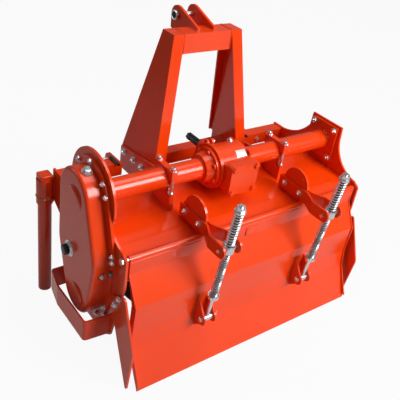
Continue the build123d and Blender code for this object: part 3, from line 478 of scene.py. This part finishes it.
case_bolts = bmesh.new()
rim_line = case_line(RIM_GROW, 240)
for spot in RIM_BOLTS:
    point = min(rim_line, key=lambda p: (p - Vector(spot)).length)
    set_on(case_bolts, bolt_m12, place(-OUTER_FACE - RIM_T, *point), LEFT, point.x)
make_piece("case_rim_bolts", case_bolts, zinc, "frame")

# The level plug is a wide zinc ring with a black hex in it.
LEVEL_Y, LEVEL_Z = 14, -240
plugs = bmesh.new()
set_on(plugs, fastener(30, 8, 35), place(-722, LEVEL_Y, LEVEL_Z), LEFT, 0.2)
set_on(plugs, fastener(17, 15, 21, 4), place(-680, -27, 124), (0, -0.24, 0.97), 0.2)
set_on(plugs, fastener(10, 8, 13), place(-680, -181, -255), (0, -1, -0.2), 0.2)
make_piece("case_plugs", plugs, zinc, "frame")
plug_head = bmesh.new()
set_on(plug_head, fastener(22, 16, 24), place(-732, LEVEL_Y, LEVEL_Z), LEFT, 0.5)
make_piece("case_plug_head", plug_head, black_steel, "frame")

# Pressed crescents over the two gears' ends: a raised rib, fullest in the middle.
CRESCENT_X, CRESCENT_R = -718, 54
crescents = bmesh.new()
for centre in ((-10, 2), (-47, -440)):
    arc = [place(CRESCENT_X, *on_circle(centre, CRESCENT_R, math.radians(d))) for d in range(40, 200, 5)]
    rope(crescents, arc, 4, swell=2.4)
make_piece("case_crescents", crescents, sheet_enamel, "frame")

guard_bolts = bmesh.new()
for y in (-150, 120):
    for z in (-486, -538):
        set_on(guard_bolts, bolt_m12, place(-OUTER_FACE, y, z), LEFT, 0.3)
make_piece("guard_bolts", guard_bolts, zinc, "frame")


# Tube clamps
# A thick yoke with a half-round cut sits on the tube and is drawn down by two long studs.
# The saddle under it is a block welded to the hood. Nuts and studs are zinc plated.
dress(["tube_clamp_left", "tube_clamp_right", "tube_saddle_left", "tube_saddle_right"], sheet_enamel, 1.5)

UP, DOWN = (0, 0, 1), (0, 0, -1)
CLAMP_X, STUD_Y = 307, 54
STUD_R, STUD_LENGTH, STUD_Z = 8.3, 67, -22
YOKE_TOP, SADDLE_FOOT = 56, -47
yoke_nut, saddle_nut = fastener(13.5, 10, 16, 2), fastener(13, 9, 15, 3)
clamp_hardware = bmesh.new()
for x in (-CLAMP_X, CLAMP_X):
    for y in (-STUD_Y, STUD_Y):
        set_on(clamp_hardware, yoke_nut, place(x, y, YOKE_TOP), UP, 0.3)
        round_bar(clamp_hardware, place(x, y, STUD_Z), STUD_R, STUD_LENGTH)
        set_on(clamp_hardware, saddle_nut, place(x, y, SADDLE_FOOT), DOWN, 0.3)
make_piece("clamp_studs_and_nuts", clamp_hardware, zinc, "frame")


# Mast
# Two tapered channels folded from plate, their open sides facing in, lean in to a box head.
# The head and its two ears are welded to them. The top link pin is turned steel, zinc plated.
dress(["mast_leg_left", "mast_leg_right", "mast_head"], sheet_enamel, 1.2)
dress(["top_link_pin"], zinc, 0.8)

HEAD_SEAM_X, HEAD_REAR, HEAD_FRONT = 123, 226, 309
HEAD_TOP, HEAD_FOOT = 504.5, 421
mast_seams = bmesh.new()
for x in (-HEAD_SEAM_X, HEAD_SEAM_X):
    over = place(x, HEAD_REAR, HEAD_TOP), place(x, HEAD_FRONT, HEAD_TOP)
    down = place(x, HEAD_REAR + 0.5, HEAD_FOOT), place(x, HEAD_REAR + 0.5, HEAD_TOP - 0.5)
    weld(mast_seams, line_path(*over), 3.4)
    weld(mast_seams, line_path(*down), 3.4)
for x in (-48, -36, 36, 48):
    weld(mast_seams, line_path(place(x, 250, HEAD_TOP + 1), place(x, HEAD_FRONT, HEAD_TOP + 1)), 2.5)
make_piece("mast_weld_seams", mast_seams, sheet_enamel, "frame")

# The pin's head is bored, so it shows as a bright zinc ring round a dark hole.
PIN_FACE, PIN_AXIS = -60, (405, 526)
pin_ring = bmesh.new()
rope(pin_ring, ring_path(PIN_FACE, PIN_AXIS, 18), 3.4, closed=True)
make_piece("top_pin_ring", pin_ring, zinc, "frame")
# The hole is a black disc on the pin's face: painted shade for the bore's dark inside.
painted_bore_shade = bmesh.new()
round_bar(painted_bore_shade, place(PIN_FACE, *PIN_AXIS), 15.5, 1.4, "X", segments=24)
make_piece("top_pin_painted_bore_shade", painted_bore_shade, black_steel, "frame")


# Hitch plates, beam and lower link bars
# Plates bolted to the mast's feet stand on the hood. A box beam ties them, and a bar from each
# side plate ends in a clevis for the tractor's lower link, with a zinc pin.
dress(["hitch_plate_left", "hitch_plate_right", "hitch_beam", "link_bar_left", "link_bar_right"],
      sheet_enamel, 2.0)
dress(["lower_link_pin_left", "lower_link_pin_right"], zinc, 0.8)

HITCH_FACE, HITCH_BOLT_Z = 274, -86
CLEVIS_FACE, BAR_REAR = 341, 280
hitch_bolts = bmesh.new()
for side in (-1, 1):
    for y in (378, 296, 226):
        set_on(hitch_bolts, bolt_m16, place(side * HITCH_FACE, y, HITCH_BOLT_Z), (side, 0, 0), 0.3)
    set_on(hitch_bolts, bolt_m16, place(side * CLEVIS_FACE, 310, -110), (-side, 0, 0), 0.5)
    set_on(hitch_bolts, bolt_m14, place(side * 460, BAR_REAR, -112), REAR, 0.4)
make_piece("hitch_bolts", hitch_bolts, zinc, "frame")

# A short black rod lies over each clevis.
BLACK_ROD_R, BLACK_ROD_LENGTH = 7, 74
rods = bmesh.new()
for side in (-1, 1):
    round_bar(rods, place(side * 369, 300, -73), BLACK_ROD_R, BLACK_ROD_LENGTH, "Y")
round_edges(rods, rims(rods), 1.2)
make_piece("link_locking_rods", rods, black_steel, "frame")


# Ribs and forks
# A round-topped rib stands on the hood at each spring rod. Two bent plates are bolted to it and
# spread behind to hold the swivel.
dress(["hood_rib_left", "hood_rib_right", "spring_fork_left", "spring_fork_right"], sheet_enamel, 1.9)

SPRING_X = 279
FORK_FACE, FORK_BOLT_Y, FORK_BOLT_Z = 13, (-142, -237), -90
fork_bolts = bmesh.new()
for side in (-1, 1):
    for hand in (-1, 1):
        for y in FORK_BOLT_Y:
            spot = place(side * SPRING_X + hand * FORK_FACE, y, FORK_BOLT_Z)
            set_on(fork_bolts, bolt_m14, spot, (hand, 0, 0), 0.3)
make_piece("fork_bolts", fork_bolts, zinc, "frame")

RIB_FACE, RIVET_HEAD_R = 5, 5
RIB_RIVETS = ((-216, 0), (-232, -26))
rib_rivets = bmesh.new()
for y, z in RIB_RIVETS:
    for side in (-1, 1):
        for hand in (-1, 1):
            head = bmesh.ops.create_uvsphere(rib_rivets, u_segments=14, v_segments=8,
                                             radius=RIVET_HEAD_R * MM)["verts"]
            bmesh.ops.scale(rib_rivets, vec=(0.5, 1, 1), verts=head)
            bmesh.ops.translate(rib_rivets, vec=place(side * SPRING_X + hand * RIB_FACE, y, z), verts=head)
make_piece("rib_rivets", rib_rivets, sheet_enamel, "frame")


# Spring rods
# Each rod slides in a swivel between the fork's plates. A coil spring pushes on each side of it:
# a thick one above, under the nut, and a longer one below, in a cup. All of it is zinc plated.
dress(["swivel_left", "swivel_right"], zinc, 0.6)

ROD_EYE, SWIVEL = Vector((-368, -485)), Vector((-414, -91))
rod_way = (SWIVEL - ROD_EYE).normalized()
SWIVEL_HEIGHT = (SWIVEL - ROD_EYE).length
UP_ROD = Vector((0, rod_way.x, rod_way.y))
OFF_ROD = Vector((0, rod_way.y, -rod_way.x))
COIL_SEAT, UPPER_TOP, CUP_FACE = 15.3, 178.7, 129.3
RIM_R, RIM_RISE = 24.5, 17
UPPER_R, UPPER_WIRE, UPPER_TURNS = 20, 6.2, 12.25
LOWER_R, LOWER_WIRE, LOWER_TURNS = 17, 4.6, 25.25
TURN_STEPS = 22

# Zinc on spring wire: a little greyer than on the bolts, with a finer grain.
spring_zinc = bare_metal("zinc_on_spring_wire", "#E4E7E9", "#BCC1C6", 0.27, 1.0, 0.12)

# The rod is zinc plated too. It is painted dark where the springs run on it: painted shade for the
# shadowed rod seen between the coils.
SHADE_BAND_MIDDLE, SHADE_BAND_HALF = 357, 217
zinc_with_painted_shade = bare_metal("zinc_with_painted_coil_shade", "#EAECEE", "#C6CACE", 0.25, 1.2, 0.12)
tree = zinc_with_painted_shade.node_tree
shader = tree.nodes["Principled BSDF"]
plated = shader.inputs["Base Color"].links[0].from_socket
spot = add_node(tree, "ShaderNodeTexCoord")
along = add_node(tree, "ShaderNodeVectorMath", {"operation": "DOT_PRODUCT"}, {0: spot.outputs["Object"]})
along.inputs[1].default_value = UP_ROD
middle = add_node(tree, "ShaderNodeMath", {"operation": "COMPARE"}, {0: along.outputs["Value"]})
middle.inputs[1].default_value = place(0, *ROD_EYE).dot(UP_ROD) + SHADE_BAND_MIDDLE * MM
middle.inputs[2].default_value = SHADE_BAND_HALF * MM
# Painted shade: the rod turns dark grey inside the band that the springs cover.
coil_shade = add_node(tree, "ShaderNodeMix", {"data_type": "RGBA"}, {0: middle.outputs[0], 6: plated})
coil_shade.inputs[7].default_value = linear("#3A3D40")
tree.links.new(coil_shade.outputs[2], shader.inputs["Base Color"])
dress(["spring_rod_left", "spring_rod_right"], zinc_with_painted_shade, 0.6)


def on_rod(side, height, arm=0, angle=0):
    """A point up a rod from its eye, at the end of an arm turned about the rod."""
    reach = Vector((math.cos(angle), 0, 0)) + OFF_ROD * math.sin(angle)
    return place(*(Vector((side * SPRING_X, *ROD_EYE)) + UP_ROD * height + reach * arm))


def coil(side, start, end, reach, wire, turns):
    """A coil spring round a rod, from one height above its eye to another."""
    spring = bmesh.new()
    steps = int(turns * TURN_STEPS)
    rise = end - start - wire
    line = []
    for n in range(steps + 1):
        angle = math.tau * turns * n / steps
        line.append(on_rod(side, start + wire / 2 + rise * n / steps, reach - wire / 2, angle))
    rope(spring, line, wire / 2)
    return spring


for side, name in ((-1, "left"), (1, "right")):
    upper_coil = coil(side, SWIVEL_HEIGHT + COIL_SEAT, SWIVEL_HEIGHT + UPPER_TOP,
                      UPPER_R, UPPER_WIRE, UPPER_TURNS)
    upper = make_piece(f"upper_coil_{name}", upper_coil, spring_zinc, f"swivel_{name}")
    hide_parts(f"upper_spring_{name}")
    rim = bmesh.new()
    ring = [on_rod(side, SWIVEL_HEIGHT + RIM_RISE, RIM_R, math.radians(d)) for d in range(0, 360, 15)]
    rope(rim, ring, 2.6, closed=True)
    make_piece(f"swivel_rim_{name}", rim, zinc, f"swivel_{name}")
    lower_coil = coil(side, CUP_FACE, SWIVEL_HEIGHT - COIL_SEAT, LOWER_R, LOWER_WIRE, LOWER_TURNS)
    lower = make_piece(f"lower_coil_{name}", lower_coil, spring_zinc, f"rod_{name}")
    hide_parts(f"lower_spring_{name}")
    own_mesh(lower)


# Levelling board
# A bent sheet of 5 mm steel with a plate at each end, hung on two bolts through the side plates.
# Lugs welded to its back hold the spring rods' eyes on a bolt with a split pin.
dress(["levelling_board", "board_lug_left", "board_lug_right"], sheet_enamel, 1.0)
dress(["board_hinge_pin_left", "board_hinge_pin_right"], zinc, 0.8)

LUG_FACE, SPLIT_PIN_X = 31, 42
LOOP_R = 9
EYE_Y, EYE_Z = ROD_EYE
lug_bolt = fastener(11, 7, 13)
lug_bolts = bmesh.new()
split_pins = bmesh.new()
for side in (-1, 1):
    for hand in (-1, 1):
        spot = place(side * SPRING_X + hand * LUG_FACE, EYE_Y, EYE_Z)
        set_on(lug_bolts, lug_bolt, spot, (hand, 0, 0), 0.3)
    x = side * SPRING_X + SPLIT_PIN_X
    loop = [place(x, EYE_Y + LOOP_R * math.sin(a), EYE_Z - 16 + LOOP_R * math.cos(a))
            for a in (math.radians(d) for d in range(150, -151, -25))]
    rope(split_pins, [place(x, EYE_Y + 10, EYE_Z + 23), *loop, place(x, EYE_Y - 10, EYE_Z + 23)], 1.6)
make_piece("lug_bolts", lug_bolts, zinc, "board")
make_piece("lug_split_pins", split_pins, zinc, "board")

# A small tongue welded to the board's top, under the hood's rear edge.
TONGUE_SIZE = (66, 5, 44)
tongue = bmesh.new()
bmesh.ops.create_cube(tongue, size=1, matrix=Matrix.Translation(place(-16, -268, -186))
                      @ Matrix.Diagonal((*(length * MM for length in TONGUE_SIZE), 1)))
through = [e for e in tongue.edges if abs(e.verts[0].co.y - e.verts[1].co.y) > MM]
round_edges(tongue, through, 8, segments=5)
round_edges(tongue, rims(tongue), 1.2)
make_piece("board_tongue", tongue, sheet_enamel, "board")

BOARD_FOLDS = ((-257, -212), (-322, -330), (-315, -470), (-325, -548), (-393, -718))
BOARD_SEAM_X = 611
board_seams = bmesh.new()
for x in (-BOARD_SEAM_X, BOARD_SEAM_X):
    for start, end in zip(BOARD_FOLDS, BOARD_FOLDS[1:]):
        weld(board_seams, line_path(place(x, *start), place(x, *end)), 2.4)
make_piece("board_weld_seams", board_seams, sheet_enamel, "board")


# Side wings
# Leaf-shaped plates outside the board's ends keep the soil in.
# They are painted steel plate, and two zinc bolts hold each.
dress(["side_wing_left", "side_wing_right"], sheet_enamel, 1.0)

WING_FACE = 648
wing_bolts = bmesh.new()
for side in (-1, 1):
    set_on(wing_bolts, bolt_m16, place(side * WING_FACE, -238, -364), (side, 0, 0), 0.3)
    set_on(wing_bolts, bolt_m12, place(side * WING_FACE, -262, -318), (side, 0, 0), 0.6)
make_piece("wing_bolts", wing_bolts, zinc, "frame")


# Parking stand
# A painted steel tube that slides in a sleeve beside the drive case.
# A zinc pin through both holds it, and a brass wire clip round the sleeve holds the pin.
dress(["stand_sleeve", "stand_leg"], sheet_enamel, 1.2)

# Drawn brass wire: warm yellow, with a clean narrow gloss.
brass = bare_metal("brass_wire", "#C9983E", "#A87A2C", 0.3, 1.0, 0.1)
STAND_X, STAND_Y, STAND_PIN_Z = -676, 350, -196
CLIP_R, CLIP_Z, CLIP_DROP = 37.4, -206, 7
clip = bmesh.new()
loop = [place(STAND_X + CLIP_R * math.sin(a), STAND_Y - CLIP_R * math.cos(a),
              CLIP_Z - CLIP_DROP * math.sin(a / 2))
        for a in (math.radians(d) for d in range(-125, 126, 8))]
rope(clip, loop, 1.6)
make_piece("stand_wire_clip", clip, brass, "frame")
stand_pin = bmesh.new()
round_bar(stand_pin, place(STAND_X, STAND_Y, STAND_PIN_Z), 6, 88, "Y")
make_piece("stand_pin", stand_pin, zinc, "frame")


# Rotor
# A thick tube with six flanges, painted with the frame.
# Six bent tines are bolted to each flange, forged and dipped in black.

# Black dip paint on forged steel: thick, dull and a little uneven.
tine_enamel = enamel("black_dip_on_forged_steel", "#1C1D20", "#121316", 0.42, 6.0, 0.3)
dress(["rotor_shaft"], sheet_enamel, 1.2)
dress(["rotor_tines"], tine_enamel, 0.8)

FLANGES, TINES = 6, 6
FLANGE_IN, FLANGE_STEP = 58, 22
TINE_FACE, NUT_FACE = 11, 4
TINE_BOLTS = ((72, -12), (84, 12))
tine_bolt = fastener(11, 7)
tine_bolts = bmesh.new()
for n in range(FLANGES):
    flange_x = -HALF_WIDTH + FLANGE_IN + n * 2 * (HALF_WIDTH - FLANGE_IN) / (FLANGES - 1)
    for k in range(TINES):
        turned = math.radians(n * FLANGE_STEP + k * 360 / TINES)
        leans_right = n == 0 or (n < FLANGES - 1 and k % 2 == 0)
        side = 1 if leans_right else -1
        for reach, shift in TINE_BOLTS:
            y = ROTOR[0] + shift * math.cos(turned) - reach * math.sin(turned)
            z = ROTOR[1] + shift * math.sin(turned) + reach * math.cos(turned)
            set_on(tine_bolts, tine_bolt, place(flange_x + side * TINE_FACE, y, z), (side, 0, 0), k)
            set_on(tine_bolts, tine_bolt, place(flange_x - side * NUT_FACE, y, z), (-side, 0, 0), n)
make_piece("tine_bolts", tine_bolts, black_steel, "rotor")


# Floor and backdrop
# A pale studio floor that keeps a soft shadow. The camera sees it as nearly plain white. Near the
# machine's foot it also glows for mirrored rays only, a painted reflection on the machine's paint and
# zinc.
FLOOR_REACH, FLOOR_SEEN = 30, 0.94
floor_grid = bmesh.new()
bmesh.ops.create_grid(floor_grid, x_segments=1, y_segments=1, size=FLOOR_REACH)
bmesh.ops.translate(floor_grid, vec=(0, 0, cad_box[0][2]), verts=floor_grid.verts)
floor_mesh = bpy.data.meshes.new("studio_floor")
floor_grid.to_mesh(floor_mesh)
floor_grid.free()
floor = bpy.data.objects.new("studio_floor", floor_mesh)
bpy.context.scene.collection.objects.link(floor)
floor_paint = bpy.data.materials.new("white_studio_floor")
floor_paint.use_nodes = True
tree = floor_paint.node_tree
shader = tree.nodes["Principled BSDF"]
shader.inputs["Base Color"].default_value = linear("#BEBEBE")
shader.inputs["Roughness"].default_value = 0.9
seen = add_node(tree, "ShaderNodeLightPath")
white = add_node(tree, "ShaderNodeEmission", {"Strength": 1.0})
share = add_node(tree, "ShaderNodeMath", {"operation": "MULTIPLY"}, {0: seen.outputs["Is Camera Ray"]})
share.inputs[1].default_value = FLOOR_SEEN
# Painted reflection: within about 2 m of the machine the floor glows for glossy rays, fading out beyond.
spot = add_node(tree, "ShaderNodeTexCoord")
away = add_node(tree, "ShaderNodeVectorMath", {"operation": "LENGTH"}, {0: spot.outputs["Object"]})
near = add_node(tree, "ShaderNodeMapRange",
                {"From Min": 1.5, "From Max": 2.3, "To Min": 0.35, "To Max": 0.0},
                {"Value": away.outputs["Value"]})
mirrored = add_node(tree, "ShaderNodeMath", {"operation": "MULTIPLY_ADD"},
                    {0: seen.outputs["Is Glossy Ray"], 1: near.outputs["Result"], 2: share.outputs[0]})
mixed = add_node(tree, "ShaderNodeMixShader", {},
                 {0: mirrored.outputs[0], 1: shader.outputs[0], 2: white.outputs[0]})
tree.links.new(mixed.outputs[0], tree.nodes["Material Output"].inputs["Surface"])
floor_mesh.materials.append(floor_paint)


# Studio light
# A broad lamp behind the camera's right shoulder, a weak one above, a weaker one before the
# machine's left, and a pale room that the camera sees as white.
ROOM_LIGHT, ROOM_SEEN, ROOM_MIRRORED = 0.10, 1.0, 0.15
world = bpy.data.worlds.new("pale_room")
bpy.context.scene.world = world
world.use_nodes = True
tree = world.node_tree
room = tree.nodes["Background"]
room.inputs["Color"].default_value = (1, 1, 1, 1)
seen = add_node(tree, "ShaderNodeLightPath")
level = add_node(tree, "ShaderNodeMapRange", {"To Min": ROOM_LIGHT, "To Max": ROOM_SEEN},
                 {"Value": seen.outputs["Is Camera Ray"]})
mirrored = add_node(tree, "ShaderNodeMath", {"operation": "MULTIPLY_ADD"},
                    {0: seen.outputs["Is Glossy Ray"], 2: level.outputs["Result"]})
mirrored.inputs[1].default_value = ROOM_MIRRORED
tree.links.new(mirrored.outputs[0], room.inputs["Strength"])


def softbox(name, spot, aim, size, power):
    """A square lamp at a place, turned to a point."""
    light = bpy.data.lights.new(name, "AREA")
    light.size = size
    light.energy = power
    lamp = bpy.data.objects.new(name, light)
    lamp.location = spot
    lamp.rotation_euler = (Vector(aim) - Vector(spot)).to_track_quat("-Z", "Y").to_euler()
    bpy.context.scene.collection.objects.link(lamp)


softbox("key_light", (1.9, -4.3, 2.5), (0, -0.3, -0.2), 2.6, 285)
softbox("top_light", (0.8, -0.4, 3.6), (0, -0.3, -0.3), 2.2, 54)
softbox("fill_light", (-3.2, 2.6, 1.6), (0, -0.3, -0.2), 2.4, 20)


# Camera
# It stands behind the machine, to its left and above it, and leans a little.
# Its place, turn and lens are fitted to the photograph's view.
TURN, RISE, LEAN = math.radians(-40.9), math.radians(32.4), math.radians(9.2)
CAMERA_AT = (-1.594, -1.9957, 1.2766)
back = Vector((math.sin(TURN) * math.cos(RISE), -math.cos(TURN) * math.cos(RISE), math.sin(RISE)))
level_right = Vector((math.cos(TURN), math.sin(TURN), 0))
level_up = back.cross(level_right)
right = level_right * math.cos(LEAN) + level_up * math.sin(LEAN)
top = level_up * math.cos(LEAN) - level_right * math.sin(LEAN)
lens = bpy.data.cameras.new("camera")
lens.sensor_width = 36
lens.lens = 54.74
camera = bpy.data.objects.new("camera", lens)
camera.matrix_world = Matrix.Translation(CAMERA_AT) @ Matrix((right, top, back)).transposed().to_4x4()
bpy.context.scene.collection.objects.link(camera)
bpy.context.scene.camera = camera
bpy.context.scene.view_settings.view_transform = "Standard"
